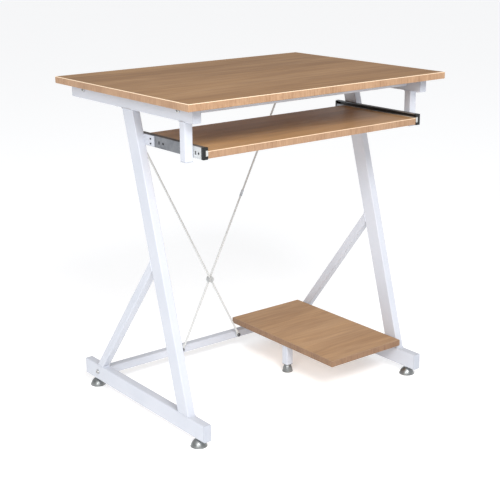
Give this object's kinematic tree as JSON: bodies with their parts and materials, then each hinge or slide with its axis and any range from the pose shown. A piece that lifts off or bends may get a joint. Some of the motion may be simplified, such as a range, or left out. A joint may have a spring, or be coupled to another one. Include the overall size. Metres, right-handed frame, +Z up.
{
  "type": "computer desk with keyboard tray",
  "caption": "Small computer desk: laminated top on Z-shaped white steel tube frames, keyboard tray on steel slides, low shelf for the computer case and a crossed rod brace at the back",
  "frame": {"origin": "on the floor, under the middle of the tabletop", "axes": "+Z up, +X to the seated user's right, the user sits at -Y and the rod brace is at the back, +Y"},
  "size_m": [0.7, 0.52, 0.734],
  "materials": {
    "laminate_top": "satin beech-pattern laminate on particle board",
    "laminate_shelf": "satin beech-pattern laminate on particle board",
    "laminate_tray": "satin beech-pattern laminate on particle board",
    "white_frame": "white powder coat, satin, on steel tube",
    "white_rod": "white powder coat on round steel rod",
    "white_plastic": "moulded white plastic",
    "black_plastic": "moulded black plastic",
    "black_rubber": "soft black rubber",
    "zinc_steel": "bright zinc-plated sheet steel",
    "zinc_screw": "zinc-plated steel",
    "black_screw": "black-oxide steel",
    "chrome_glide": "bright chrome plate"
  },
  "bodies": {
    "desk_frame": {"brace_bolts": "black_screw", "brace_cross_clip": "white_plastic", "brace_joint_sleeve": "zinc_steel", "brace_rivet_nuts": "zinc_steel", "brace_rod_back": "white_rod", "brace_rod_front": "white_rod", "brace_spacers": "white_rod", "cpu_shelf": "laminate_shelf", "crossbar_bolts": "zinc_screw", "crossbar_inserts": "black_plastic", "foot_rail_caps": "white_plastic", "glide_inserts": "zinc_steel", "hanger_caps": "white_plastic", "left_back_strut": "white_frame", "left_foot_rail": "white_frame", "left_hanger": "white_frame", "left_leg": "white_frame", "left_slide_liner": "black_plastic", "left_slide_outer": "zinc_steel", "left_slide_tab": "white_frame", "left_top_rail": "white_frame", "lower_rear_crossbar": "white_frame", "post_dowel_screw": "zinc_screw", "post_foot_plug": "black_plastic", "post_top_plug": "black_plastic", "right_back_strut": "white_frame", "right_foot_rail": "white_frame", "right_hanger": "white_frame", "right_leg": "white_frame", "right_slide_liner": "black_plastic", "right_slide_outer": "zinc_steel", "right_slide_tab": "white_frame", "right_top_rail": "white_frame", "shelf_bearer_front": "white_frame", "shelf_bearer_rear": "white_frame", "shelf_edge_bands": "laminate_shelf", "shelf_post": "white_frame", "shelf_screws": "zinc_screw", "slide_rear_bumpers": "black_rubber", "slide_screws": "black_screw", "tabletop": "laminate_top", "tabletop_edge_bands": "laminate_top", "tabletop_screws": "zinc_screw", "top_rail_caps": "white_plastic", "upper_front_crossbar": "white_frame", "upper_rear_crossbar": "white_frame"},
    "keyboard_tray_body": {"keyboard_tray": "laminate_tray", "tray_edge_bands": "laminate_tray", "tray_screws": "zinc_screw", "left_slide_inner": "zinc_steel", "right_slide_inner": "zinc_steel"},
    "front_left_glide_body": {"front_left_glide": "chrome_glide"},
    "front_right_glide_body": {"front_right_glide": "chrome_glide"},
    "rear_left_glide_body": {"rear_left_glide": "chrome_glide"},
    "rear_right_glide_body": {"rear_right_glide": "chrome_glide"},
    "post_glide_body": {"shelf_post_glide": "chrome_glide"}
  },
  "joints": [
    {"name": "tray_slide", "type": "slide", "parent": "desk_frame", "child": "keyboard_tray_body", "axis": [0, -1, 0], "range_m": [0, 0.2]},
    {"name": "front_left_glide_height", "type": "slide", "parent": "desk_frame", "child": "front_left_glide_body", "axis": [0, 0, -1], "range_m": [0, 0.01]},
    {"name": "front_right_glide_height", "type": "slide", "parent": "desk_frame", "child": "front_right_glide_body", "axis": [0, 0, -1], "range_m": [0, 0.01]},
    {"name": "rear_left_glide_height", "type": "slide", "parent": "desk_frame", "child": "rear_left_glide_body", "axis": [0, 0, -1], "range_m": [0, 0.01]},
    {"name": "rear_right_glide_height", "type": "slide", "parent": "desk_frame", "child": "rear_right_glide_body", "axis": [0, 0, -1], "range_m": [0, 0.01]},
    {"name": "post_glide_height", "type": "slide", "parent": "desk_frame", "child": "post_glide_body", "axis": [0, 0, -1], "range_m": [0, 0.01]}
  ]
}
